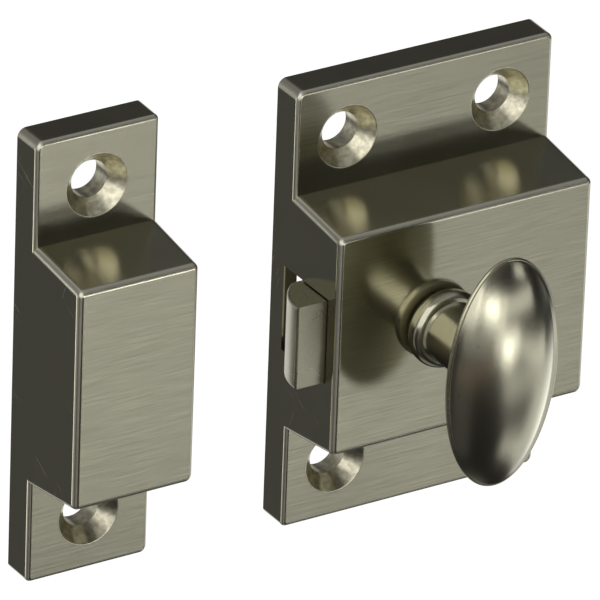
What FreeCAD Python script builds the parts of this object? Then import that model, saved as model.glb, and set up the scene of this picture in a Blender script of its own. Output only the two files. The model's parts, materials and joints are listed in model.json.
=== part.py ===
import FreeCAD, Part
import math
import os
from FreeCAD import Vector

os.makedirs("parts", exist_ok=True)

# All sizes are in millimetres.
# X runs to the right, Y from the front towards the door, Z up.
# The origin is the middle of the latch on the door face, y = 0.

# Outside of the latch and of the strike
plate_height = 50.8
latch_width = 31.0
strike_width = 14.45
plate_thick = 3.85
case_depth = 12.8
case_top_root = 13.5
case_top_front = 12.5
case_bottom_root = 13.9
case_bottom_front = 12.6
side_draft = 0.19
plate_edge_radius = 0.45
case_edge_radius = 0.6
strike_centre_x = -38.98
strike_centre_z = 1.4

# Corner roundings seen from the front
plate_corner_top_left = 1.0
latch_corner_top_right = 0.8
strike_corner_top_right = 0.55
plate_corner_bottom_left = 0.55
plate_corner_bottom_right = 0.8
case_corner_top_left = 0.75
case_corner_top_right = 0.65
case_corner_bottom_left = 0.65
case_corner_bottom_right = 0.8

# Walls of the castings
front_wall = 1.75
side_wall = 1.6
end_wall = 1.9
pocket_corner_radius = 0.8
core_half_width = 4.6
core_bottom = 16.0
core_top = 23.3
core_depth = 2.1

# Screw holes
screw_bore_radius = 2.1
countersink_radius = 3.5
countersink_angle = 82.0
countersink_rim_radius = 0.15
hole_half_rise = 19.05
latch_hole_half_span = 9.25

# Bolt
bolt_half_height = 4.75
bolt_front_gap = 0.15
bolt_thick = 5.1
bolt_projection = 3.6
bolt_block_length = 8.1
bevel_radius = 6.0
bevel_land = 0.45
nose_edge_radius = 0.3
bolt_travel = 3.5
tail_thick = 2.0
rail_height = 2.6
hub_to_rail_gap = 0.35
follower_top = 5.0
lug_wall = 3.5
window_back = 2.4
strike_window_half_height = 6.0
guide_clearance = 0.15
guide_thick = 1.3
guide_stop_gap = 0.1

# Spindle, cam and their bearings
spindle_x = -2.8
journal_radius = 3.0
rear_journal_radius = 1.7
running_clearance = 0.05
bearing_wall = 1.3
bearing_end_gap = 0.2
spindle_square = 3.6
square_clearance = 0.03
shank_radius = 2.0
shank_length = 7.5
shank_clearance = 0.02
cam_hub_radius = 3.2
cam_reach = 3.4
cam_tip_width = 1.4
cam_follower_gap = 0.1
knob_turn = 60.0
tail_to_cam_step = 0.1

# Back plate, posts and clip
back_plate_thick = 1.0
back_plate_gap = 0.15
back_plate_left_opening = 2.63
back_plate_right_gap = 0.85
back_plate_end_gap = 0.6
back_plate_corner_radius = 2.0
post_radius = 1.9
tenon_radius = 1.1
tenon_clearance = 0.05
tenon_head_radius = 1.7
tenon_head_height = 0.5
stop_post_height = 6.0
stop_gap = 0.1
far_post_x = 7.5
far_post_z = -8.6
clip_thick = 0.5
clip_outer_radius = 3.0
clip_mouth = 2.2
groove_depth = 0.4
groove_play = 0.05
spindle_tail = 0.6

# Spring
spring_mean_radius = 2.02
wire_radius = 0.275
active_coils = 5.0
closed_coils = 1.0
spring_seat_gap = 0.06
spring_stub_radius = 1.45
bolt_stub_length = 2.0
case_stub_length = 1.2

# Knob
collar_gap = 0.3
collar_base_radius = 3.6
collar_radius = 4.33
collar_lip_radius = 3.45
collar_widest = 0.9
collar_thick = 2.1
collar_rear_bow = 0.25
collar_front_bow = 0.33
lip_step = 0.3
neck_radius = 3.3
neck_flare_radius = 3.5
neck_length = 7.1
neck_bow = 0.15
shank_end_gap = 0.3
head_half_width = 6.7
head_half_height = 13.1
rim_stand_off = 12.15
rim_radius = 0.24
rim_slope_rise = 0.2
dome_inset_x = 0.5
dome_inset_z = 0.4
dome_shift_x = 0.25
dome_shift_z = 0.15
dome_height = 2.41
dome_angle = 55.0
back_dome_height = 3.4
back_dome_angle = 60.0
back_dome_inset = 0.5
knob_set_angle = 1.8

# Overrun of the cutting shapes and of the pieces that are joined
over = 1.0

# Sizes that follow from the ones above
pocket_front_y = front_wall - case_depth
bolt_front_y = pocket_front_y + bolt_front_gap
bolt_back_y = bolt_front_y + bolt_thick
tail_front_y = bolt_back_y - tail_thick
cam_front_y = tail_front_y - tail_to_cam_step
cam_back_y = bolt_back_y - tail_to_cam_step
bearing_end_y = cam_front_y - bearing_end_gap
back_plate_front_y = bolt_back_y + back_plate_gap
back_plate_back_y = back_plate_front_y + back_plate_thick
clip_front_y = back_plate_back_y + running_clearance
cam_base_radius = bolt_travel / math.radians(knob_turn)
follower_x = spindle_x + cam_reach + cam_follower_gap
lug_front_x = spindle_x + journal_radius + running_clearance + bearing_wall + guide_clearance
lug_end_x = follower_x + lug_wall
spring_y = (bolt_front_y + bolt_back_y) / 2


def side_x(width, y):
    """Half width of a drafted casting at depth y."""
    return width / 2 + side_draft * y / case_depth


def box(x0, x1, y0, y1, z0, z1):
    """Rectangular block between two corners."""
    return Part.makeBox(x1 - x0, y1 - y0, z1 - z0, Vector(x0, y0, z0))


def rod_y(x, z, radius, y0, y1):
    """Round bar along Y."""
    return Part.makeCylinder(radius, y1 - y0, Vector(x, y0, z), Vector(0, 1, 0))


def rod_x(y, z, radius, x0, x1):
    """Round bar along X."""
    return Part.makeCylinder(radius, x1 - x0, Vector(x0, y, z), Vector(1, 0, 0))


def prism(points, direction):
    """Flat outline pushed along a direction."""
    return Part.Face(Part.makePolygon(points + [points[0]])).extrude(direction)


def case_z(root, front, y):
    """Height of a tapered end of the case at depth y, given at the plate and at the front."""
    return root + (root - front) / (case_depth - plate_thick) * (y + plate_thick)


def tapered_block(back_y, front_y, width_at, top_at, bottom_at):
    """Block between two depths whose half width, top and bottom are straight lines in depth."""
    back_x = width_at(back_y)
    front_x = width_at(front_y)
    low = -bottom_at(back_y)
    high = top_at(back_y)
    plan = [
        Vector(-back_x, back_y, low),
        Vector(back_x, back_y, low),
        Vector(front_x, front_y, low),
        Vector(-front_x, front_y, low),
    ]
    profile = [
        Vector(-back_x, back_y, low),
        Vector(-back_x, back_y, high),
        Vector(-back_x, front_y, top_at(front_y)),
        Vector(-back_x, front_y, -bottom_at(front_y)),
    ]
    return prism(plan, Vector(0, 0, high - low)).common(prism(profile, Vector(2 * back_x, 0, 0)))


def edges_in_depth(shape):
    """Edges that run from the back to the front."""
    return [e for e in shape.Edges if abs(e.Vertexes[0].Y - e.Vertexes[-1].Y) > 0.5]


def edges_at(shape, y):
    """Edges that lie in the plane at depth y."""
    return [e for e in shape.Edges if all(abs(v.Y - y) < 1e-4 for v in e.Vertexes)]


def round_corners(solid, top_left, top_right, bottom_left, bottom_right):
    """Rounds the four edges that run in depth, each with its own radius."""
    for right, upper, radius in (
        (False, True, top_left),
        (True, True, top_right),
        (False, False, bottom_left),
        (True, False, bottom_right),
    ):
        chosen = []
        for edge in edges_in_depth(solid):
            middle = edge.CenterOfMass
            at_corner = (middle.x > 0) == right and (middle.z > 0) == upper
            if at_corner and edge.Curve.TypeId == "Part::GeomLine":
                chosen.append(edge)
        solid = solid.makeFillet(radius, chosen[:1])
    return solid


def screw_hole(x, z):
    """Countersunk clearance hole through the plate."""
    drop = countersink_radius - screw_bore_radius
    depth = drop / math.tan(math.radians(countersink_angle / 2))
    slope = drop / depth
    bore = rod_y(x, z, screw_bore_radius, -plate_thick - over, over)
    cone = Part.makeCone(
        countersink_radius + over * slope,
        screw_bore_radius,
        depth + over,
        Vector(x, -plate_thick - over, z),
        Vector(0, 1, 0),
    )
    return bore.fuse(cone)


def casting(width, top_right, holes):
    """Plate with a flush box case, hollow from the back, with its screw holes."""
    half_height = plate_height / 2
    plate = tapered_block(
        0, -plate_thick,
        lambda y: side_x(width, y),
        lambda y: half_height,
        lambda y: half_height,
    )
    plate = round_corners(
        plate, plate_corner_top_left, top_right, plate_corner_bottom_left, plate_corner_bottom_right,
    )
    plate = plate.makeFillet(plate_edge_radius, edges_at(plate, -plate_thick))
    case = tapered_block(
        0, -case_depth,
        lambda y: side_x(width, y),
        lambda y: case_z(case_top_root, case_top_front, y),
        lambda y: case_z(case_bottom_root, case_bottom_front, y),
    )
    case = round_corners(
        case, case_corner_top_left, case_corner_top_right, case_corner_bottom_left, case_corner_bottom_right,
    )
    case = case.makeFillet(case_edge_radius, edges_at(case, -case_depth))
    body = plate.fuse(case).removeSplitter()
    pocket = tapered_block(
        0, pocket_front_y,
        lambda y: side_x(width, y) - side_wall,
        lambda y: case_z(case_top_root, case_top_front, y) - end_wall,
        lambda y: case_z(case_bottom_root, case_bottom_front, y) - end_wall,
    )
    body = body.cut(pocket.makeFillet(pocket_corner_radius, edges_in_depth(pocket)))
    for x, z in holes:
        body = body.cut(screw_hole(x, z))
    rims = []
    for edge in edges_at(body, -plate_thick):
        if hasattr(edge.Curve, "Radius") and abs(edge.Curve.Radius - countersink_radius) < 1e-3:
            rims.append(edge)
    return body.makeFillet(countersink_rim_radius, rims)


def moved(shape, x, y, z):
    """Copy of a shape, shifted."""
    copy = shape.copy()
    copy.translate(Vector(x, y, z))
    return copy


def cam_flank(angle):
    """Point of the cam's working flank, at rest, that meets the bolt after turning by angle."""
    along = cam_reach + cam_base_radius * angle
    c = math.cos(angle)
    s = math.sin(angle)
    return along * c - cam_base_radius * s, along * s + cam_base_radius * c


def cam_back_line():
    """Tip corner and hub corner of the cam's straight rear flank, from the spindle's axis."""
    tip_x, tip_z = cam_flank(math.radians(knob_turn))
    return (tip_x - cam_tip_width, tip_z), (-cam_hub_radius, 0.0)


def stop_post_place():
    """Centre of the post that the cam's rear flank rests against."""
    (tx, tz), (hx, hz) = cam_back_line()
    length = math.hypot(tx - hx, tz - hz)
    ux = (tx - hx) / length
    uz = (tz - hz) / length
    along = (stop_post_height - hz) / uz
    away = post_radius + stop_gap
    return spindle_x + hx + ux * along - uz * away, hz + uz * along + ux * away


def posts():
    """Places of the two posts that carry the back plate."""
    return [stop_post_place(), (far_post_x, far_post_z)]


def make_latch_case():
    """Latch casting with window, bearing, bolt guides, spring stub and staked posts."""
    holes = []
    for x in (-latch_hole_half_span, latch_hole_half_span):
        for z in (-hole_half_rise, hole_half_rise):
            holes.append((x, z))
    body = casting(latch_width, latch_corner_top_right, holes)
    for z0, z1 in ((core_bottom, core_top), (-core_top, -core_bottom)):
        core = box(-core_half_width, core_half_width, -core_depth, over, z0, z1)
        body = body.cut(core.makeFillet(pocket_corner_radius, edges_in_depth(core)))
    root_y = pocket_front_y - front_wall / 2
    bearing_radius = journal_radius + running_clearance + bearing_wall
    added = [rod_y(spindle_x, 0, bearing_radius, root_y, bearing_end_y)]
    rib = bolt_half_height + guide_clearance
    wall_x = -latch_width / 2 + side_wall / 2
    stop_x = bolt_block_end() - guide_stop_gap
    for z0, z1 in ((rib, rib + guide_thick), (-rib - guide_thick, -rib)):
        added.append(box(wall_x, stop_x, root_y, bolt_back_y, z0, z1))
    for x, z in posts():
        added.append(rod_y(x, z, post_radius, root_y, back_plate_front_y))
        added.append(rod_y(x, z, tenon_radius, root_y, back_plate_back_y))
        head = rod_y(x, z, tenon_head_radius, back_plate_back_y, back_plate_back_y + tenon_head_height)
        rim = edges_at(head, back_plate_back_y + tenon_head_height)
        added.append(head.makeFillet(tenon_head_height / 2, rim))
    inner_x = side_x(latch_width, spring_y) - side_wall
    added.append(rod_x(spring_y, 0, spring_stub_radius, inner_x - case_stub_length, inner_x + side_wall / 2))
    body = body.fuse(added).removeSplitter()
    bearing = rod_y(spindle_x, 0, journal_radius + running_clearance, -case_depth - over, bearing_end_y + over)
    window = box(-latch_width, over - latch_width / 2 + side_wall, pocket_front_y, -window_back, -rib, rib)
    return body.cut(bearing).cut(window)


def bolt_tip_x():
    """Tip of the bolt's nose at rest."""
    return -side_x(latch_width, bolt_front_y) - bolt_projection


def bolt_block_end():
    """Inner end of the bolt's full block."""
    return bolt_tip_x() + bolt_block_length


def make_bolt():
    """Nose block with a curved bevel, a rail under the cam and a follower with the spring stub."""
    tip = bolt_tip_x()
    end = bolt_block_end()
    land_y = bolt_front_y + bevel_land
    centre_x = tip + bevel_radius
    drop = bolt_back_y - land_y
    back_x = centre_x - math.sqrt(bevel_radius ** 2 - drop ** 2)
    half_angle = math.asin(drop / bevel_radius) / 2
    mid_x = centre_x - bevel_radius * math.cos(half_angle)
    mid_y = land_y + bevel_radius * math.sin(half_angle)
    low = -bolt_half_height
    corners = [
        Vector(tip, land_y, low),
        Vector(tip, bolt_front_y, low),
        Vector(end, bolt_front_y, low),
        Vector(end, bolt_back_y, low),
        Vector(back_x, bolt_back_y, low),
    ]
    edges = [Part.makeLine(corners[i], corners[i + 1]) for i in range(4)]
    edges.append(Part.Arc(corners[4], Vector(mid_x, mid_y, low), corners[0]).toShape())
    block = Part.Face(Part.Wire(edges)).extrude(Vector(0, 0, 2 * bolt_half_height))
    nose = []
    for edge in block.Edges:
        middle = edge.valueAt((edge.FirstParameter + edge.LastParameter) / 2)
        level = abs(abs(middle.z) - bolt_half_height) < 1e-4
        curved = level and abs(middle.x - mid_x) < 0.5 and middle.y > land_y
        blunt = abs(middle.x - tip) < 1e-4
        if curved or blunt:
            nose.append(edge)
    block = block.makeFillet(nose_edge_radius, nose)
    rail_top = -cam_hub_radius - hub_to_rail_gap
    rail_low = rail_top - rail_height
    rail = box(end, lug_end_x, tail_front_y, bolt_back_y, rail_low, rail_top)
    root = box(end - over, end, tail_front_y, bolt_back_y, -bolt_half_height, rail_top)
    follower = box(follower_x, lug_end_x, tail_front_y, bolt_back_y, rail_low, follower_top)
    lug = box(lug_front_x, lug_end_x, bolt_front_y, bolt_back_y, rail_low, follower_top)
    stub = rod_x(spring_y, 0, spring_stub_radius, lug_end_x - over, lug_end_x + bolt_stub_length)
    return block.fuse([root, rail, follower, lug, stub]).removeSplitter()


def make_cam():
    """Hub with one lobe whose working flank is an involute, so turning moves the bolt evenly."""
    steps = 12
    sweep = math.radians(knob_turn)
    flank = [cam_flank(sweep * i / steps) for i in range(steps + 1)]
    (tx, tz), (hx, hz) = cam_back_line()
    curve = Part.BSplineCurve()
    curve.interpolate([Vector(x, 0, z) for x, z in flank])
    start = Vector(flank[0][0], 0, flank[0][1])
    tip = Vector(flank[-1][0], 0, flank[-1][1])
    foot = Vector(cam_hub_radius, 0, 0)
    edges = [
        curve.toShape(),
        Part.makeLine(tip, Vector(tx, 0, tz)),
        Part.makeLine(Vector(tx, 0, tz), Vector(hx, 0, hz)),
        Part.makeLine(Vector(hx, 0, hz), foot),
        Part.makeLine(foot, start),
    ]
    thick = cam_back_y - cam_front_y
    lobe = Part.Face(Part.Wire(edges)).extrude(Vector(0, thick, 0))
    hub = rod_y(0, 0, cam_hub_radius, 0, thick)
    half = spindle_square / 2 + square_clearance
    hole = box(-half, half, -over, thick + over, -half, half)
    cam = lobe.fuse(hub).removeSplitter().cut(hole)
    return moved(cam, spindle_x, cam_front_y, 0)


def make_spindle():
    """Steel shaft with shank, front journal, square, rear journal and clip groove."""
    face_y = -case_depth - collar_gap
    end_y = clip_front_y + clip_thick + groove_play + spindle_tail
    half = spindle_square / 2
    shank = rod_y(0, 0, shank_radius, face_y - shank_length, face_y)
    journal = rod_y(0, 0, journal_radius, face_y, cam_front_y)
    square = box(-half, half, cam_front_y, cam_back_y, -half, half)
    rear = rod_y(0, 0, rear_journal_radius, cam_back_y, end_y)
    shaft = shank.fuse([journal, square, rear]).removeSplitter()
    groove = rod_y(0, 0, journal_radius, clip_front_y, clip_front_y + clip_thick + groove_play)
    core = rod_y(0, 0, rear_journal_radius - groove_depth, cam_back_y, end_y)
    shaft = shaft.cut(groove.cut(core))
    return moved(shaft, spindle_x, 0, 0)


def make_clip():
    """Flat ring clip with an open mouth, in the spindle's groove."""
    inner = rear_journal_radius - groove_depth + groove_play
    y0 = clip_front_y + groove_play / 2
    ring = rod_y(0, 0, clip_outer_radius, y0, y0 + clip_thick)
    ring = ring.cut(rod_y(0, 0, inner, y0 - over, y0 + clip_thick + over))
    half = clip_mouth / 2
    mouth = box(-half, half, y0 - over, y0 + clip_thick + over, -clip_outer_radius - over, 0)
    return moved(ring.cut(mouth), spindle_x, 0, 0)


def make_back_plate():
    """Stamped retainer staked on the posts, with the spindle's rear bearing hole."""
    inner_x = side_x(latch_width, back_plate_front_y) - side_wall
    edge_gap = end_wall + back_plate_end_gap
    plate = box(
        back_plate_left_opening - inner_x,
        inner_x - back_plate_right_gap,
        back_plate_front_y,
        back_plate_back_y,
        edge_gap - case_z(case_bottom_root, case_bottom_front, back_plate_front_y),
        case_z(case_top_root, case_top_front, back_plate_front_y) - edge_gap,
    )
    plate = plate.makeFillet(back_plate_corner_radius, edges_in_depth(plate))
    y0 = back_plate_front_y - over
    y1 = back_plate_back_y + over
    plate = plate.cut(rod_y(spindle_x, 0, rear_journal_radius + running_clearance, y0, y1))
    for x, z in posts():
        plate = plate.cut(rod_y(x, z, tenon_radius + tenon_clearance, y0, y1))
    return plate


def make_spring():
    """Compression coil with a closed turn at each end, laid as short straight lengths of wire."""
    x0 = lug_end_x + spring_seat_gap + wire_radius
    x1 = side_x(latch_width, spring_y - spring_mean_radius) - side_wall - spring_seat_gap - wire_radius
    closed_pitch = 2 * wire_radius
    active_pitch = (x1 - x0 - 2 * closed_coils * closed_pitch) / active_coils
    per_turn = 16
    count = round((active_coils + 2 * closed_coils) * per_turn)
    wire = Part.Circle(Vector(0, spring_mean_radius, 0), Vector(0, 0, 1), wire_radius)
    rings = []
    for i in range(count + 1):
        turn = i / per_turn
        active = min(max(turn - closed_coils, 0), active_coils)
        ring = Part.Wire(wire.toShape())
        ring.rotate(Vector(0, 0, 0), Vector(1, 0, 0), 360 * turn)
        ring.translate(Vector(x0 + active * active_pitch + (turn - active) * closed_pitch, spring_y, 0))
        rings.append(ring)
    return Part.makeLoft(rings, True, True)


def oval_cap(half_x, half_z, height, angle):
    """Cap of an ellipsoid on the plane y = 0, domed towards the front."""
    a = math.radians(angle)
    cap = Part.makeSphere(1.0, Vector(0, 0, 0), Vector(0, -1, 0), 90 - angle, 90, 360)
    stretch = height / (1 - math.cos(a))
    scale = FreeCAD.Matrix()
    scale.scale(half_x / math.sin(a), stretch, half_z / math.sin(a))
    cap = cap.transformGeometry(scale)
    return moved(cap, 0, stretch * math.cos(a), 0)


def oval(half_x, half_z, y):
    """Oval outline in the plane at depth y."""
    return Part.Wire(Part.Ellipse(Vector(0, y, half_z), Vector(half_x, y, 0), Vector(0, y, 0)).toShape())


def make_head():
    """Oval head: a thin rounded rim, a dome in front that is set a little to the upper left, a dome behind."""
    steps = 8
    rim_y = -case_depth - rim_stand_off
    foot_y = rim_y - rim_radius - rim_slope_rise
    foot_x = head_half_width - dome_inset_x
    foot_z = head_half_height - dome_inset_z
    sections = []
    for i in range(steps + 1):
        a = math.pi * (i / steps - 0.5)
        inset = rim_radius * (1 - math.cos(a))
        y = rim_y - rim_radius * math.sin(a)
        sections.append(oval(head_half_width - inset, head_half_height - inset, y))
    sections.append(moved(oval(foot_x, foot_z, foot_y), -dome_shift_x, 0, dome_shift_z))
    rim = Part.makeLoft(sections, True, True)
    dome = moved(oval_cap(foot_x, foot_z, dome_height, dome_angle), -dome_shift_x, foot_y, dome_shift_z)
    back = oval_cap(
        head_half_width - back_dome_inset, head_half_height - back_dome_inset, back_dome_height, back_dome_angle,
    )
    back.rotate(Vector(0, 0, 0), Vector(0, 0, 1), 180)
    back = moved(back, 0, rim_y + rim_radius, 0)
    head = rim.fuse([dome, back])
    head.rotate(Vector(0, 0, 0), Vector(0, 1, 0), knob_set_angle)
    return head


def bowed(start, end, bow):
    """Arc between two points of a turned outline, pushed outwards by bow at its middle."""
    run = end - start
    out = Vector(-run.y, run.x, 0) * (bow / run.Length)
    return Part.Arc(start, (start + end) * 0.5 + out, end).toShape()


def make_knob():
    """Collar and neck turned in one with the oval head."""
    face_y = -case_depth - collar_gap
    lip_y = face_y - collar_thick
    neck_y = lip_y - lip_step
    base = Vector(collar_base_radius, face_y, 0)
    widest = Vector(collar_radius, face_y - collar_widest, 0)
    lip = Vector(collar_lip_radius, lip_y, 0)
    neck = Vector(neck_radius, neck_y, 0)
    flare = Vector(neck_flare_radius, neck_y - neck_length, 0)
    edges = [
        Part.makeLine(Vector(0, face_y, 0), base),
        bowed(base, widest, collar_rear_bow),
        bowed(widest, lip, collar_front_bow),
        Part.makeLine(lip, neck),
        bowed(neck, flare, -neck_bow),
        Part.makeLine(flare, Vector(0, flare.y, 0)),
        Part.makeLine(Vector(0, flare.y, 0), Vector(0, face_y, 0)),
    ]
    stem = Part.Face(Part.Wire(edges)).revolve(Vector(0, 0, 0), Vector(0, 1, 0), 360)
    knob = stem.fuse(make_head()).removeSplitter()
    bore = rod_y(0, 0, shank_radius + shank_clearance, face_y - shank_length - shank_end_gap, face_y + over)
    return moved(knob.cut(bore), spindle_x, 0, 0)


def make_strike():
    """Strike casting with a window in the side that faces the latch."""
    body = casting(strike_width, strike_corner_top_right, [(0, hole_half_rise), (0, -hole_half_rise)])
    half = strike_window_half_height
    inner_x = strike_width / 2 - side_wall - over
    body = body.cut(box(inner_x, strike_width, pocket_front_y, -window_back, -half, half))
    return moved(body, strike_centre_x, 0, strike_centre_z)


parts = {
    "latch_case": make_latch_case(),
    "latch_bolt": make_bolt(),
    "bolt_spring": make_spring(),
    "retractor_cam": make_cam(),
    "knob_spindle": make_spindle(),
    "turn_knob": make_knob(),
    "spindle_clip": make_clip(),
    "back_plate": make_back_plate(),
    "strike": make_strike(),
}
for name, shape in parts.items():
    shape.exportStep("parts/" + name + ".step")
    print(name, shape.isValid(), len(shape.Solids), round(shape.Volume, 1), shape.BoundBox)
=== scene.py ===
import json
import math

import bpy
import numpy as np
from mathutils import Matrix, Vector


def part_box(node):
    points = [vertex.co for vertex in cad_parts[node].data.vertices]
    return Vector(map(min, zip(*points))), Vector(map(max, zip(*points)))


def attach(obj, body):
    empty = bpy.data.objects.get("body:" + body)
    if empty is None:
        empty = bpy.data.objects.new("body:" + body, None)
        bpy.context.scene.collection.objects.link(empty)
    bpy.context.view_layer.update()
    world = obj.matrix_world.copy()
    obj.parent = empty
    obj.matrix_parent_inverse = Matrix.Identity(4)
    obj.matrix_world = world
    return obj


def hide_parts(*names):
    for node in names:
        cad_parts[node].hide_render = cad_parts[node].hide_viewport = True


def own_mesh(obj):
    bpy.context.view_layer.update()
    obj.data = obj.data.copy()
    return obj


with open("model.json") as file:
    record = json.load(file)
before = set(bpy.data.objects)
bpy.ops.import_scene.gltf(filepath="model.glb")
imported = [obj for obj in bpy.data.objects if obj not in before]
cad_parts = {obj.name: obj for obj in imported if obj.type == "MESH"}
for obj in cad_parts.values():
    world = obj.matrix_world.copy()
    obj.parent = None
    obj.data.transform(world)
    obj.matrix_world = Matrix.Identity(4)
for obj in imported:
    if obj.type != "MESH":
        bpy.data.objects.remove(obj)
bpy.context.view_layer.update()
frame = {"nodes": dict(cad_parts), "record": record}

SPRING_LOW, SPRING_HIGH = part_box("bolt_spring")

bl_info = {
    "name": "Cupboard Catch Latch",
    "version": (1, 0, 0),
    "blender": (4, 5, 0),
    "location": "View3D > Sidebar > Latch",
    "description": "Finishes the parts of a satin nickel cupboard latch and its strike",
    "category": "Object",
}


def drawn_in(box, low_inset, high_inset):
    """Room inside a casting: its box, drawn in at the lowest and at the highest corner."""
    low, high = box
    return low + Vector(low_inset), high - Vector(high_inset)


# Where the plating inside a casting is thin and dull, and painted shade darkens it. In the latch case that
# is about as tall as the bolt's window, and in the strike it is the pocket behind the front wall.
CAVITIES = {
    "latch_case": drawn_in(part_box("latch_case"), (0.0002, 0.0016, 0.0204), (0.0002, 0.0002, 0.0204)),
    "strike": drawn_in(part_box("strike"), (0.0006, 0.003, 0.015), (0.0006, 0.0002, 0.015)),
}

# Softboxes as the latch sees them: name, azimuth and elevation in degrees, distance in metres, width,
# height and roll in degrees, share of the lamp level, colour
SOFTBOXES = (
    ("front_box", -6, 1.5, 0.7, 44, 13, -14, 0.4, "#FFFFFF"),
    ("front_core", -4, 1, 0.68, 20, 7, -14, 0.7, "#FFFFFF"),
    ("low_box", 18, -15, 0.6, 30, 8, -8, 0.36, "#FFFFFF"),
    ("low_core", 19, -17, 0.58, 13, 6, -8, 0.9, "#FFFFFF"),
    ("mid_box", -20, -9, 0.6, 46, 12, -4, 0.08, "#FFFFFF"),
    ("low_streak", 52, -21, 0.6, 52, 6, -10, 0.28, "#FFFFFF"),
    ("warm_box", -22, -21, 0.6, 50, 8, 0, 0.035, "#EAC0A0"),
    ("left_box", -48, 27, 0.7, 56, 56, -8, 0.4, "#FFFFFF"),
    ("right_box", 43, 10, 0.7, 18, 8, -22, 0.3, "#FFFFFF"),
    ("right_streak", 36, -4, 0.7, 44, 8, -6, 0.3, "#FFFFFF"),
    ("upper_box", 22, 44, 0.7, 80, 46, 0, 0.03, "#FFFFFF"),
    ("side_box", -118, -14, 0.2, 8, 40, 0, 0.5, "#FFFFFF"),
)


def linear(code):
    """Linear colour of an sRGB hex value."""
    srgb = np.array([int(code[i:i + 2], 16) for i in (1, 3, 5)]) / 255
    low = srgb / 12.92
    high = ((srgb + 0.055) / 1.055) ** 2.4
    return tuple(float(c) for c in np.where(srgb <= 0.04045, low, high))


def colour_property(name, description, code):
    """Colour picker whose default is an sRGB hex value."""
    return bpy.props.FloatVectorProperty(
        name=name, description=description, default=linear(code),
        subtype="COLOR", min=0, max=1, precision=4,
    )


def length_property(name, description, millimetres):
    """Length whose default is given in millimetres."""
    return bpy.props.FloatProperty(
        name=name, description=description, default=millimetres / 1000,
        subtype="DISTANCE", unit="LENGTH", precision=5,
    )


class LatchFinish(bpy.types.PropertyGroup):
    """Colours and surface sizes of the plated metals."""
    nickel: colour_property("Satin nickel", "Plating on the two castings", "#B4B19C")
    # Lighter than the plating: the turned seats, and partly a painted highlight
    countersink_sheen: colour_property("Countersinks", "Turned screw seats, lightened partly as painted highlight", "#D0CBB3")
    # Paler colour on the rounded edges is a painted highlight; the hair scratches take it faintly too
    edge: colour_property("Edge highlight and scratches", "Painted highlight on the castings' rounded edges, and the scratches' colour", "#C9C6B6")
    bolt: colour_property("Bolt nickel", "Smooth plating on the latch bolt", "#B4B19C")
    knob: colour_property("Knob nickel", "Polished plating on the knob", "#B6B39E")
    pit: colour_property("Pin holes", "Dark of the pin holes in the knob's plating", "#191612")
    # Darker inside the case: thin dull plating, and painted shade in the recess
    cavity: colour_property("Inside the case", "Thin dull plating and painted shade inside the case", "#6E6B5C")
    zinc: colour_property("Zinc plate", "Plating on the workings", "#B4B7B8")
    steel: colour_property("Spring steel", "Drawn wire and clip", "#8A8A88")
    brush_pitch: length_property("Brush pitch", "Distance between brush lines on the fronts", 0.12)
    brush_length: length_property("Brush length", "Length of one brush line", 6.0)


class LatchSpring(bpy.types.PropertyGroup):
    """Sizes of the compression spring behind the bolt."""
    wire_radius: length_property("Wire radius", "Half the wire's thickness", 0.275)
    active_turns: bpy.props.FloatProperty(
        name="Active turns", description="Turns that close up when the bolt moves", default=5, min=1,
    )
    closed_turns: bpy.props.FloatProperty(
        name="Closed turns", description="Touching turns at each end", default=1, min=0.5,
    )


class LatchStage(bpy.types.PropertyGroup):
    """Floor, cards, lamps and camera."""
    floor_drop: length_property("Floor drop", "Height of the latch's middle above the floor", 600)
    floor_reach: length_property("Floor reach", "Half the width of the floor", 3000)
    card_radius: length_property("Card radius", "Distance of the cloth, and radius of the floor card", 2000)
    floor: colour_property("Floor", "Pale matte floor", "#F4F4F2")
    floor_glow: bpy.props.FloatProperty(
        name="Floor glow", description="Brightness that the floor shows of its own", default=0.7, min=0,
    )
    surround_level: bpy.props.FloatProperty(
        name="Surround level", description="Light of the white surround on the latch", default=0.35, min=0,
    )
    lamp_level: bpy.props.FloatProperty(
        name="Lamp level", description="Brightness of the softboxes, where 1 is white", default=3.8, min=0,
    )
    camera_place: bpy.props.FloatVectorProperty(
        name="Camera place", description="Where the camera stands",
        default=(-0.494865, -0.774116, 0.480261), subtype="TRANSLATION", unit="LENGTH",
    )
    camera_turn: bpy.props.FloatVectorProperty(
        name="Camera turn", description="How the camera is turned",
        default=tuple(math.radians(a) for a in (62.1684, -1.8757, -30.9710)),
        subtype="EULER", unit="ROTATION",
    )
    lens: bpy.props.FloatProperty(
        name="Lens", description="Focal length in millimetres on a 36 mm sensor", default=596.2, min=1,
    )


def add_node(tree, kind, inputs=None, **settings):
    """Adds a node; settings are its own options, inputs are values or the sockets to link.

    Inputs are keyed by name or by place. By place a Map Range has its value, the two ends it maps from
    and the two it maps to, and a Mix has its factor at 0 and its colours at 6 and 7.
    """
    node = tree.nodes.new(kind)
    for key, value in settings.items():
        setattr(node, key, value)
    for key, value in (inputs or {}).items():
        if isinstance(value, bpy.types.NodeSocket):
            tree.links.new(value, node.inputs[key])
        else:
            node.inputs[key].default_value = value
    return node


def new_material(name):
    """Empty node material with its tree and a Principled shader wired to the output."""
    material = bpy.data.materials.new(name)
    material.use_nodes = True
    tree = material.node_tree
    tree.nodes.clear()
    shader = add_node(tree, "ShaderNodeBsdfPrincipled")
    add_node(tree, "ShaderNodeOutputMaterial", {"Surface": shader.outputs[0]})
    return material, tree, shader


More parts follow.
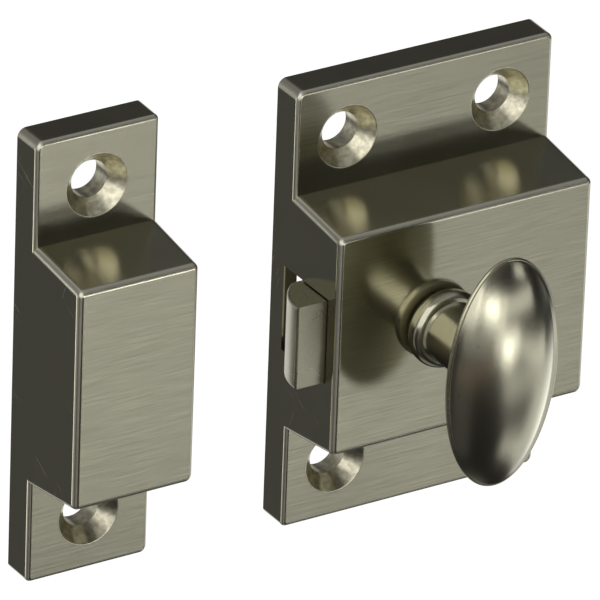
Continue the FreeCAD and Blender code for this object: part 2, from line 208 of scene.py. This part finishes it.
def screw_seats(tree, place, side, centre, span):
    """Mask of the turned seats in the screw holes, and the direction outwards from the hole's axis.

    The distance is taken from the nearest hole's axis, folded about the middle of the casting, so the
    holes lie at centre plus or minus span. The flat back round the holes is left out.
    """
    seat_radius = 0.00355
    fade = 0.0001
    local = add_node(
        tree, "ShaderNodeVectorMath", {0: place.outputs["Object"], 1: centre}, operation="SUBTRACT",
    )
    folded = add_node(tree, "ShaderNodeVectorMath", {0: local.outputs[0]}, operation="ABSOLUTE")
    offset = add_node(tree, "ShaderNodeVectorMath", {0: folded.outputs[0], 1: span}, operation="SUBTRACT")
    flat = add_node(tree, "ShaderNodeVectorMath", {0: offset.outputs[0], 1: (1, 0, 1)}, operation="MULTIPLY")
    radius = add_node(tree, "ShaderNodeVectorMath", {0: flat.outputs[0]}, operation="LENGTH")
    hole = add_node(
        tree, "ShaderNodeMapRange",
        {0: radius.outputs["Value"], 1: seat_radius + fade, 2: seat_radius - fade},
    )
    not_back = add_node(tree, "ShaderNodeMapRange", {0: side.outputs["Y"], 1: 0.95, 2: 0.9})
    seat = add_node(
        tree, "ShaderNodeMath", {0: hole.outputs[0], 1: not_back.outputs[0]}, operation="MULTIPLY",
    )
    spoke = add_node(tree, "ShaderNodeVectorMath", {0: flat.outputs[0]}, operation="NORMALIZE")
    return seat.outputs[0], spoke.outputs[0]


def edge_highlight_mask(tree, leans, seat):
    """Mask of the rounded edges, where no face looks along an axis, outside the seats; it carries the painted
    edge highlight.
    """
    wide = add_node(
        tree, "ShaderNodeMath", {0: leans.outputs["X"], 1: leans.outputs["Z"]}, operation="MAXIMUM",
    )
    most = add_node(
        tree, "ShaderNodeMath", {0: wide.outputs[0], 1: leans.outputs["Y"]}, operation="MAXIMUM",
    )
    turned = add_node(tree, "ShaderNodeMapRange", {0: most.outputs[0], 1: 0.985, 2: 0.9})
    bare = add_node(tree, "ShaderNodeMath", {0: 1.0, 1: seat}, operation="SUBTRACT")
    edge = add_node(
        tree, "ShaderNodeMath", {0: turned.outputs[0], 1: bare.outputs[0]}, operation="MULTIPLY",
    )
    return edge.outputs[0]


def hair_scratches(tree, place, leans):
    """Mask of the hair scratches that handling leaves on the sides.

    They are the peaks of two noises stretched along slanting lines, drawn 0.12 mm wide so that they
    show, and only in patches about 6 mm across.
    """
    hair_width = 0.00012
    hair_length = 0.006
    patch_size = 0.006
    hairs = []
    for slant in (0.35, -1.05):
        drawn = add_node(
            tree, "ShaderNodeMapping",
            {
                "Vector": place.outputs["Object"], "Rotation": (slant, 0, 0),
                "Scale": (1.0, hair_width, hair_length),
            },
            vector_type="TEXTURE",
        )
        lines = add_node(
            tree, "ShaderNodeTexNoise", {"Vector": drawn.outputs[0], "Scale": 1.0, "Detail": 0.0},
        )
        hairs.append(add_node(tree, "ShaderNodeMapRange", {0: lines.outputs[0], 1: 0.74, 2: 0.84}))
    both = add_node(
        tree, "ShaderNodeMath", {0: hairs[0].outputs[0], 1: hairs[1].outputs[0]}, operation="MAXIMUM",
    )
    patch = add_node(
        tree, "ShaderNodeTexNoise",
        {"Vector": place.outputs["Object"], "Scale": 1 / patch_size, "Detail": 1.0},
    )
    rubbed = add_node(tree, "ShaderNodeMapRange", {0: patch.outputs[0], 1: 0.48, 2: 0.66})
    hair = add_node(
        tree, "ShaderNodeMath", {0: both.outputs[0], 1: rubbed.outputs[0]}, operation="MULTIPLY",
    )
    flank = add_node(tree, "ShaderNodeMapRange", {0: leans.outputs["X"], 1: 0.9, 2: 0.97})
    scratch = add_node(
        tree, "ShaderNodeMath", {0: hair.outputs[0], 1: flank.outputs[0]}, operation="MULTIPLY",
    )
    return scratch.outputs[0]


def cavity_mask(tree, place, cavity):
    """Mask of the room between two corners, where the least distance to its six walls is above 0."""
    low, high = cavity
    fade = 0.00005
    from_middle = add_node(
        tree, "ShaderNodeVectorMath", {0: place.outputs["Object"], 1: (low + high) / 2}, operation="SUBTRACT",
    )
    reach = add_node(tree, "ShaderNodeVectorMath", {0: from_middle.outputs[0]}, operation="ABSOLUTE")
    room = add_node(
        tree, "ShaderNodeVectorMath", {0: (high - low) / 2, 1: reach.outputs[0]}, operation="SUBTRACT",
    )
    rooms = add_node(tree, "ShaderNodeSeparateXYZ", {0: room.outputs[0]})
    less = add_node(tree, "ShaderNodeMath", {0: rooms.outputs[0], 1: rooms.outputs[1]}, operation="MINIMUM")
    least = add_node(tree, "ShaderNodeMath", {0: less.outputs[0], 1: rooms.outputs[2]}, operation="MINIMUM")
    inside = add_node(tree, "ShaderNodeMapRange", {0: least.outputs[0], 1: 0.0, 2: fade})
    return inside.outputs[0]


def brushed_nickel(name, finish, centre, span, cavity):
    """Satin nickel plate on die-cast zinc, brushed along the width on its front faces.

    The eye sees fine level streaks, reflections drawn out upwards across them, brighter turned seats
    in the screw holes, partly a painted highlight, a painted highlight on the edges, softer tops and hair
    scratches on the sides. The holes lie at centre plus or minus span. Inside the cavity the plating is
    thin and dull, with painted shade darkening it.
    """
    cloud_size = 0.007
    spot_size = 0.0006
    material, tree, shader = new_material(name)
    place = add_node(tree, "ShaderNodeTexCoord")
    side = add_node(tree, "ShaderNodeSeparateXYZ", {0: place.outputs["Normal"]})
    lean = add_node(tree, "ShaderNodeVectorMath", {0: place.outputs["Normal"]}, operation="ABSOLUTE")
    leans = add_node(tree, "ShaderNodeSeparateXYZ", {0: lean.outputs[0]})
    seat, spoke = screw_seats(tree, place, side, centre, span)
    edge = edge_highlight_mask(tree, leans, seat)
    scratch = hair_scratches(tree, place, leans)
    inside = cavity_mask(tree, place, cavity)

    # Brush lines, on the faces that look to the front or to the back
    front = add_node(tree, "ShaderNodeMapRange", {0: leans.outputs["Y"], 1: 0.9, 2: 0.99})
    stretch = (1 / finish.brush_length, 1 / finish.brush_length, 1 / finish.brush_pitch)
    along = add_node(tree, "ShaderNodeMapping", {"Vector": place.outputs["Object"], "Scale": stretch})
    brush = add_node(
        tree, "ShaderNodeTexNoise",
        {"Vector": along.outputs[0], "Scale": 1.0, "Detail": 3.0, "Roughness": 0.6},
    )
    streak = add_node(
        tree, "ShaderNodeMath", {0: brush.outputs[0], 1: front.outputs[0]}, operation="MULTIPLY",
    )
    shade = add_node(tree, "ShaderNodeMapRange", {0: streak.outputs[0], 1: 0.25, 2: 0.75, 3: 1.14, 4: 0.84})
    plate = add_node(
        tree, "ShaderNodeMix", {0: 1.0, 6: (*finish.nickel, 1), 7: shade.outputs[0]},
        data_type="RGBA", blend_type="MULTIPLY",
    )

    # The seats' colour is lighter than the plating partly as a painted highlight
    # The cutter leaves the seats mottled
    speckle = add_node(
        tree, "ShaderNodeTexNoise",
        {"Vector": place.outputs["Object"], "Scale": 1 / spot_size, "Detail": 2.0},
    )
    spots = add_node(tree, "ShaderNodeMapRange", {0: speckle.outputs[0], 1: 0.35, 2: 0.65, 3: 0.72, 4: 1.12})
    mottled = add_node(
        tree, "ShaderNodeMix", {0: 1.0, 6: (*finish.countersink_sheen, 1), 7: spots.outputs[0]},
        data_type="RGBA", blend_type="MULTIPLY",
    )

    # Each colour lies over the ones before it, under its own mask
    # Hair scratches faintly take the edge colour, which on the rounded edges is a painted highlight
    faint = add_node(tree, "ShaderNodeMath", {0: scratch, 1: 0.4}, operation="MULTIPLY")
    colour = plate.outputs[2]
    for mask, over in (
        (seat, mottled.outputs[2]),
        # The paler edge colour is a painted highlight
        (edge, (*finish.edge, 1)),
        (faint.outputs[0], (*finish.edge, 1)),
        # The dark cavity colour is thin dull plating and painted shade
        (inside, (*finish.cavity, 1)),
    ):
        colour = add_node(tree, "ShaderNodeMix", {0: mask, 6: colour, 7: over}, data_type="RGBA").outputs[2]

    # Cloudy plating, rougher under each mask; the tops are only tumbled, not brushed
    cloud = add_node(
        tree, "ShaderNodeTexNoise",
        {"Vector": place.outputs["Object"], "Scale": 1 / cloud_size, "Detail": 2.0},
    )
    smooth = add_node(tree, "ShaderNodeMapRange", {0: cloud.outputs[0], 1: 0.3, 2: 0.7, 3: 0.105, 4: 0.13})
    upper = add_node(tree, "ShaderNodeMapRange", {0: side.outputs["Z"], 1: 0.9, 2: 0.97})
    rough = smooth.outputs[0]
    for mask, amount in (
        (scratch, 0.22),
        (streak.outputs[0], 0.03),
        (seat, 0.17),
        (upper.outputs[0], 0.075),
        (edge, 0.22),
        (inside, 0.3),
    ):
        raised = add_node(tree, "ShaderNodeMath", {0: mask, 1: amount, 2: rough}, operation="MULTIPLY_ADD")
        rough = raised.outputs[0]

    # Turning marks round the seats, which stand higher than the brush lines
    marks = add_node(
        tree, "ShaderNodeTexNoise", {"Vector": spoke, "Scale": 9.0, "Detail": 3.0, "Roughness": 0.7},
    )
    coarse = add_node(tree, "ShaderNodeMath", {0: marks.outputs[0], 1: 14.0}, operation="MULTIPLY")
    height = add_node(tree, "ShaderNodeMix", {0: seat, 2: streak.outputs[0], 3: coarse.outputs[0]})
    bump = add_node(
        tree, "ShaderNodeBump", {"Strength": 0.03, "Distance": 0.0001, "Height": height.outputs[0]},
    )
    # Brush lines lie level, so the scatter is along the upright; on the ends it is along the depth
    upright = add_node(tree, "ShaderNodeCombineXYZ", {0: 0.0, 1: 0.35, 2: 1.0})
    across = add_node(
        tree, "ShaderNodeVectorTransform", {0: upright.outputs[0]},
        vector_type="VECTOR", convert_from="OBJECT", convert_to="WORLD",
    )
    shader.inputs["Metallic"].default_value = 1.0
    shader.inputs["Anisotropic"].default_value = 0.7
    tree.links.new(colour, shader.inputs["Base Color"])
    tree.links.new(rough, shader.inputs["Roughness"])
    tree.links.new(bump.outputs[0], shader.inputs["Normal"])
    tree.links.new(across.outputs[0], shader.inputs["Tangent"])
    return material


def pin_holes(tree, place, colour, dark, radius):
    """Colour with dark pin holes where the surface meets points strewn one to a 1.6 mm cell."""
    cell = 0.0016
    strewn = add_node(tree, "ShaderNodeTexVoronoi", {"Vector": place.outputs["Object"], "Scale": 1 / cell})
    hole = add_node(
        tree, "ShaderNodeMapRange",
        {0: strewn.outputs["Distance"], 1: 0.6 * radius / cell, 2: radius / cell, 3: 0.6, 4: 0.0},
    )
    pitted = add_node(
        tree, "ShaderNodeMix", {0: hole.outputs[0], 6: colour, 7: (*dark, 1)}, data_type="RGBA",
    )
    return pitted.outputs[2]


def smooth_metal(name, colour, low_rough, high_rough, grain, lift, pits=None, dull_back=0.0):
    """Plated metal polished without a direction.

    The eye sees a soft, slightly uneven shine and, close up, a fine grain of the given size, raised by
    lift. Where pits gives a colour and a radius, pin holes are strewn over it. Faces that look to the
    back are rougher by dull_back.
    """
    cloud_size = 0.005
    material, tree, shader = new_material(name)
    place = add_node(tree, "ShaderNodeTexCoord")
    cloud = add_node(
        tree, "ShaderNodeTexNoise",
        {"Vector": place.outputs["Object"], "Scale": 1 / cloud_size, "Detail": 3.0},
    )
    rough = add_node(
        tree, "ShaderNodeMapRange", {0: cloud.outputs[0], 1: 0.3, 2: 0.7, 3: low_rough, 4: high_rough},
    )
    side = add_node(tree, "ShaderNodeSeparateXYZ", {0: place.outputs["Normal"]})
    rear = add_node(tree, "ShaderNodeMapRange", {0: side.outputs["Y"], 1: 0.1, 2: 0.4})
    dulled = add_node(
        tree, "ShaderNodeMath", {0: rear.outputs[0], 1: dull_back, 2: rough.outputs[0]},
        operation="MULTIPLY_ADD",
    )
    fine = add_node(
        tree, "ShaderNodeTexNoise",
        {"Vector": place.outputs["Object"], "Scale": 1 / grain, "Detail": 2.0},
    )
    shade = add_node(tree, "ShaderNodeMapRange", {0: fine.outputs[0], 1: 0.3, 2: 0.7, 3: 0.96, 4: 1.03})
    tint = add_node(
        tree, "ShaderNodeMix", {0: 1.0, 6: (*colour, 1), 7: shade.outputs[0]},
        data_type="RGBA", blend_type="MULTIPLY",
    )
    plated = pin_holes(tree, place, tint.outputs[2], *pits) if pits else tint.outputs[2]
    bump = add_node(
        tree, "ShaderNodeBump", {"Strength": lift, "Distance": 0.00005, "Height": fine.outputs[0]},
    )
    shader.inputs["Metallic"].default_value = 1.0
    tree.links.new(plated, shader.inputs["Base Color"])
    tree.links.new(dulled.outputs[0], shader.inputs["Roughness"])
    tree.links.new(bump.outputs[0], shader.inputs["Normal"])
    return material


def dress(node, material):
    """Gives a CAD node's object its finish."""
    piece = frame["nodes"].get(node)
    if piece is None:
        raise RuntimeError(f"the frame has no node named {node}")
    if not piece.material_slots:
        piece.data.materials.append(material)
    for slot in piece.material_slots:
        slot.material = material


def surface(name, grid, around=False, capped=False):
    """Mesh object from a grid of points, rows by columns.

    around joins the last column to the first, and capped closes the first and the last row.
    """
    rows, columns = grid.shape[:2]
    index = np.arange(rows * columns).reshape(rows, columns)
    if around:
        index = np.concatenate([index, index[:, :1]], axis=1)
    quads = np.stack([index[:-1, :-1], index[:-1, 1:], index[1:, 1:], index[1:, :-1]], axis=-1)
    faces = quads.reshape(-1, 4).tolist()
    if capped:
        faces.append(index[0, :columns][::-1].tolist())
        faces.append(index[-1, :columns].tolist())
    mesh = bpy.data.meshes.new(name)
    mesh.from_pydata(grid.reshape(-1, 3).tolist(), [], faces)
    mesh.polygons.foreach_set("use_smooth", np.ones(len(mesh.polygons), dtype=bool))
    mesh.update()
    piece = bpy.data.objects.new(name, mesh)
    bpy.context.scene.collection.objects.link(piece)
    return piece


def coil_points(low, high, wire, active, closed):
    """Round wire wound about a level axis, as points along the wire by points round it.

    The middle of the wire goes round a circle while it moves along X, by one wire thickness a turn
    in the closed turns and evenly in between. Each ring is a circle in the plane of the radius
    and the axis, and shrinks to a rounded tip over the last wire radius at both ends.
    """
    steps_per_turn = 48
    points_round = 20
    turns = active + 2 * closed
    turn = np.linspace(0, turns, int(turns * steps_per_turn) + 1)[:, None]
    ring = np.linspace(0, 2 * np.pi, points_round, endpoint=False)[None, :]
    start = low.x + wire
    end = high.x - wire
    knots = [0, closed, closed + active, turns]
    places = [start, start + 2 * wire * closed, end - 2 * wire * closed, end]
    middle = np.interp(turn, knots, places)
    swing = (high.z - low.z) / 2 - wire
    reach = np.minimum(turn, turns - turn) * 2 * np.pi * swing
    taper = wire * np.sqrt(np.clip(1 - (1 - np.clip(reach / wire, 0.05, 1)) ** 2, 0, 1))
    angle = 2 * np.pi * turn
    out = swing + taper * np.cos(ring)
    x = middle + taper * np.sin(ring)
    y = (low.y + high.y) / 2 + out * np.cos(angle)
    z = (low.z + high.z) / 2 + out * np.sin(angle)
    return np.stack([x, y, z], axis=-1)


class LATCH_OT_finish_castings(bpy.types.Operator):
    """Plates and brushes the latch case and the strike"""
    bl_idname = "latch.finish_castings"
    bl_label = "Finish castings"

    def execute(self, context):
        finish = context.scene.latch_finish
        mounts = {mount["name"]: mount for mount in frame["record"]["mounts"]}
        for node, name in (("latch_case", "latch_screws"), ("strike", "strike_screws")):
            mount = mounts[name]
            # Half the holes' spacing, from millimetres to metres
            wide = mount["dims"].get("spacing_x_mm", 0) / 2000
            tall = mount["dims"]["spacing_y_mm"] / 2000
            label = f"brushed_satin_nickel_plate_{node}"
            dress(node, brushed_nickel(label, finish, mount["pos_m"], (wide, 0, tall), CAVITIES[node]))
        return {"FINISHED"}


class LATCH_OT_finish_bolt(bpy.types.Operator):
    """Plates the latch bolt"""
    bl_idname = "latch.finish_bolt"
    bl_label = "Finish bolt"

    def execute(self, context):
        finish = context.scene.latch_finish
        plate = smooth_metal("smooth_nickel_plate", finish.bolt, 0.26, 0.32, grain=0.0003, lift=0.03)
        dress("latch_bolt", plate)
        return {"FINISHED"}


class LATCH_OT_finish_knob(bpy.types.Operator):
    """Polishes the turn knob"""
    bl_idname = "latch.finish_knob"
    bl_label = "Finish knob"

    def execute(self, context):
        finish = context.scene.latch_finish
        plate = smooth_metal(
            "polished_satin_nickel_plate", finish.knob, 0.2, 0.23,
            grain=0.00025, lift=0.03, pits=(finish.pit, 0.0001), dull_back=0.35,
        )
        dress("turn_knob", plate)
        return {"FINISHED"}


class LATCH_OT_finish_workings(bpy.types.Operator):
    """Plates the spindle, cam, back plate and clip"""
    bl_idname = "latch.finish_workings"
    bl_label = "Finish workings"

    def execute(self, context):
        finish = context.scene.latch_finish
        zinc = smooth_metal("zinc_plated_steel", finish.zinc, 0.28, 0.42, grain=0.0006, lift=0.1)
        for node in ("knob_spindle", "retractor_cam", "back_plate"):
            dress(node, zinc)
        strip = smooth_metal("spring_steel_strip", finish.steel, 0.3, 0.4, grain=0.0003, lift=0.08)
        dress("spindle_clip", strip)
        return {"FINISHED"}


class LATCH_OT_wind_spring(bpy.types.Operator):
    """Winds the bolt's compression spring"""
    bl_idname = "latch.wind_spring"
    bl_label = "Wind spring"

    def execute(self, context):
        finish = context.scene.latch_finish
        spring = context.scene.latch_spring
        points = coil_points(
            SPRING_LOW, SPRING_HIGH, spring.wire_radius, spring.active_turns, spring.closed_turns,
        )
        piece = surface("spring_coil", points, around=True, capped=True)
        wire = smooth_metal("drawn_spring_wire", finish.steel, 0.26, 0.36, grain=0.0004, lift=0.08)
        piece.data.materials.append(wire)
        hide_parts("bolt_spring")
        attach(piece, "latch")
        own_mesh(piece)
        return {"FINISHED"}


def toward(azimuth, elevation, distance):
    """Point at a distance from the origin; azimuth is counted from the front towards the right."""
    a = math.radians(azimuth)
    e = math.radians(elevation)
    return Vector((math.sin(a) * math.cos(e), -math.cos(a) * math.cos(e), math.sin(e))) * distance


def seen_ray(tree):
    """Socket that is 1 for rays from the camera, in reflections and through glass."""
    path = add_node(tree, "ShaderNodeLightPath")
    first = add_node(
        tree, "ShaderNodeMath", {0: path.outputs["Is Camera Ray"], 1: path.outputs["Is Glossy Ray"]},
        operation="MAXIMUM",
    )
    both = add_node(
        tree, "ShaderNodeMath", {0: first.outputs[0], 1: path.outputs["Is Transmission Ray"]},
        operation="MAXIMUM",
    )
    return both.outputs[0]


def mirror_only(piece):
    """Keeps a stage card out of the picture and out of the light; only the metal mirrors it."""
    piece.visible_camera = False
    piece.visible_diffuse = False
    piece.visible_shadow = False


def ease(value, low, high):
    """Smooth step from 0 at low to 1 at high."""
    t = np.clip((value - low) / (high - low), 0, 1)
    return t * t * (3 - 2 * t)


def floor_shade(turn, dip):
    """Brightness of the floor as the metal mirrors it, by angle from the front and angle below level.

    White in a ring at the right and behind, with a grey gap at the front right, dim at the back left
    and the front left, grey straight below and dark elsewhere. The ring starts further round near the
    latch than far from it.
    """
    start = 20 + 12 * ease(dip, 32, 44)
    ring = ease(turn, start - 8, start + 8) * (1 - ease(turn, 196, 208)) * (1 - ease(dip, 47, 53))
    front = 1 - ease(turn, 110, 150)
    ring = ring * (1 - front * (1 - ease(dip, 22.5, 27.5)))
    gap = (1 - ease(turn, 56, 76)) * ease(dip, 29.5, 33) * (1 - ease(dip, 39, 46))
    near = np.exp(-((turn - 64) / 20) ** 2 - ((dip - 46) / 5) ** 2)
    right = np.exp(-((turn - 114) / 24) ** 2 - ((dip - 34) / 8) ** 2)
    level = 0.7 + 0.2 * ease(turn, 150, 170)
    level = level + 0.2 * ease(dip, 28.2, 29.2) * (1 - ease(turn, 34, 50))
    white = level * (1 - 0.87 * gap) + 0.3 * near + right
    dim = ease(turn, 196, 208) * (1 - ease(turn, 262, 284)) * (1 - ease(dip, 48, 55))
    left = ease(turn, 228, 244)
    under = 0.3 * ease(dip, 66, 78)
    aside = 0.065 * ease(turn, -60, -50) * (1 - ease(turn, -34, -12)) * (1 - ease(dip, 50, 60))
    return 0.02 + under + aside + (0.065 + 0.3 * left) * dim + white * ring


def cloth_shade(turn, rise):
    """Brightness of the cloth round the stage, by angle from the front and angle above level.

    Dark in front, and pale low down behind, at the left and overhead.
    """
    behind = ease(turn, 70, 125) * (1 - ease(turn, 235, 290))
    low = 1 - ease(rise, 4, 19)
    left = ease(turn, 185, 205) * (1 - ease(turn, 225, 260))
    flank = ease(turn, 240, 255) * (1 - ease(turn, 275, 290)) * (1 - ease(rise, 60, 75))
    overhead = ease(rise, 38, 52)
    pale = behind * (0.027 + 0.45 * low) + 0.22 * left * (1 - low)
    return 0.013 + pale + 0.3 * flank + 0.3 * overhead


def shaded_card(name, grid, shade):
    """Stage card that shows a brightness of its own at each point of its grid."""
    card = surface(name, grid)
    layer = card.data.attributes.new("shade", "FLOAT", "POINT")
    layer.data.foreach_set("value", np.ascontiguousarray(shade.reshape(-1), dtype=np.float32))
    material, tree, shader = new_material(f"{name}_shades")
    shade_node = add_node(tree, "ShaderNodeAttribute", attribute_name="shade")
    shader.inputs["Base Color"].default_value = (0, 0, 0, 1)
    shader.inputs["Specular IOR Level"].default_value = 0.0
    shader.inputs["Emission Color"].default_value = (1, 1, 1, 1)
    tree.links.new(shade_node.outputs["Fac"], shader.inputs["Emission Strength"])
    card.data.materials.append(material)
    mirror_only(card)


class LATCH_OT_set_stage(bpy.types.Operator):
    """Lays the floor, stands the cards and lamps and places the camera"""
    bl_idname = "latch.set_stage"
    bl_label = "Set stage"

    def execute(self, context):
        stage = context.scene.latch_stage
        self.lay_floor(stage)
        self.stand_cards(stage)
        self.light(context.scene, stage)
        self.place_camera(context.scene, stage)
        context.scene.view_settings.view_transform = "Standard"
        return {"FINISHED"}

    def lay_floor(self, stage):
        """Flat square floor that keeps shadows and looks white."""
        u = np.linspace(-stage.floor_reach, stage.floor_reach, 5)[:, None]
        v = np.linspace(-stage.floor_reach, stage.floor_reach, 5)[None, :]
        grid = np.stack(np.broadcast_arrays(u, v, -stage.floor_drop), axis=-1)
        floor = surface("floor", grid)
        material, tree, shader = new_material("pale_matte_paint")
        shader.inputs["Base Color"].default_value = (*stage.floor, 1)
        shader.inputs["Roughness"].default_value = 0.9
        glow = add_node(
            tree, "ShaderNodeMath", {0: seen_ray(tree), 1: stage.floor_glow}, operation="MULTIPLY",
        )
        shader.inputs["Emission Color"].default_value = (1, 1, 1, 1)
        tree.links.new(glow.outputs[0], shader.inputs["Emission Strength"])
        floor.data.materials.append(material)

    def stand_cards(self, stage):
        """Cloth dome round the latch, and a shaded disc that lies just above the floor."""
        card_lift = 0.002
        # The seam is at -60 degrees, where each card is equally bright on both sides
        turn = np.linspace(-60, 300, 145)[:, None]
        angle = np.radians(turn)
        rise = np.linspace(-20, 90, 45)[None, :]
        tilt = np.radians(rise)
        dome = stage.card_radius * np.stack(np.broadcast_arrays(
            np.sin(angle) * np.cos(tilt), -np.cos(angle) * np.cos(tilt), np.sin(tilt),
        ), axis=-1)
        shaded_card("cloth_dome", dome, cloth_shade(turn, rise))
        away = np.linspace(0, stage.card_radius, 161)[None, :]
        flat = np.stack(np.broadcast_arrays(
            away * np.sin(angle), -away * np.cos(angle), card_lift - stage.floor_drop,
        ), axis=-1)
        dip = np.degrees(np.arctan2(stage.floor_drop, away))
        shaded_card("floor_card", flat, floor_shade(turn, dip))

    def softbox(self, scene, name, azimuth, elevation, away, wide, tall, roll, level, colour):
        """Flat lamp that faces the latch; width and height are angles as the latch sees them."""
        lamp = bpy.data.lights.new(name, "AREA")
        lamp.shape = "RECTANGLE"
        lamp.size = 2 * away * math.tan(math.radians(wide / 2))
        lamp.size_y = 2 * away * math.tan(math.radians(tall / 2))
        lamp.energy = level * math.pi * lamp.size * lamp.size_y
        lamp.color = linear(colour)
        box = bpy.data.objects.new(name, lamp)
        place = toward(azimuth, elevation, away)
        aim = place.to_track_quat("Z", "Y").to_matrix().to_4x4()
        box.matrix_world = Matrix.Translation(place) @ aim @ Matrix.Rotation(math.radians(roll), 4, "Z")
        box.visible_camera = False
        scene.collection.objects.link(box)

    def light(self, scene, stage):
        """Softboxes all round the front, above and at the left side, and an even white surround."""
        for name, *aim, share, colour in SOFTBOXES:
            self.softbox(scene, name, *aim, share * stage.lamp_level, colour)

        world = bpy.data.worlds.new("white_surround")
        scene.world = world
        world.use_nodes = True
        tree = world.node_tree
        tree.nodes.clear()
        strength = add_node(tree, "ShaderNodeMapRange", {0: seen_ray(tree), 3: stage.surround_level, 4: 1.0})
        sky = add_node(tree, "ShaderNodeBackground", {"Color": (1, 1, 1, 1), "Strength": strength.outputs[0]})
        add_node(tree, "ShaderNodeOutputWorld", {"Surface": sky.outputs[0]})

    def place_camera(self, scene, stage):
        """Long lens from the upper left."""
        data = bpy.data.cameras.new("camera")
        data.lens = stage.lens
        data.sensor_width = 36
        data.clip_start = 0.05
        camera = bpy.data.objects.new("camera", data)
        camera.location = stage.camera_place
        camera.rotation_euler = stage.camera_turn
        scene.collection.objects.link(camera)
        scene.camera = camera


OPERATORS = (
    LATCH_OT_finish_castings,
    LATCH_OT_finish_bolt,
    LATCH_OT_finish_knob,
    LATCH_OT_finish_workings,
    LATCH_OT_wind_spring,
    LATCH_OT_set_stage,
)


class LATCH_PT_panel(bpy.types.Panel):
    """Lists the steps and the settings of the latch"""
    bl_idname = "LATCH_PT_panel"
    bl_label = "Cupboard Catch Latch"
    bl_space_type = "VIEW_3D"
    bl_region_type = "UI"
    bl_category = "Latch"

    def draw(self, context):
        for operator in OPERATORS:
            self.layout.operator(operator.bl_idname)
        for group in (context.scene.latch_finish, context.scene.latch_spring, context.scene.latch_stage):
            box = self.layout.box()
            for name in group.__annotations__:
                box.prop(group, name)


GROUPS = {"latch_finish": LatchFinish, "latch_spring": LatchSpring, "latch_stage": LatchStage}
CLASSES = (*GROUPS.values(), *OPERATORS, LATCH_PT_panel)


def register():
    """Registers the classes and hangs the settings on the scene."""
    for item in CLASSES:
        bpy.utils.register_class(item)
    for name, group in GROUPS.items():
        setattr(bpy.types.Scene, name, bpy.props.PointerProperty(type=group))


def unregister():
    """Takes the settings and the classes away again."""
    for name in GROUPS:
        delattr(bpy.types.Scene, name)
    for item in reversed(CLASSES):
        bpy.utils.unregister_class(item)


def main():
    """Runs every step in order."""
    register()
    bpy.ops.latch.finish_castings()
    bpy.ops.latch.finish_bolt()
    bpy.ops.latch.finish_knob()
    bpy.ops.latch.finish_workings()
    bpy.ops.latch.wind_spring()
    bpy.ops.latch.set_stage()


if __name__ == "__main__":
    main()
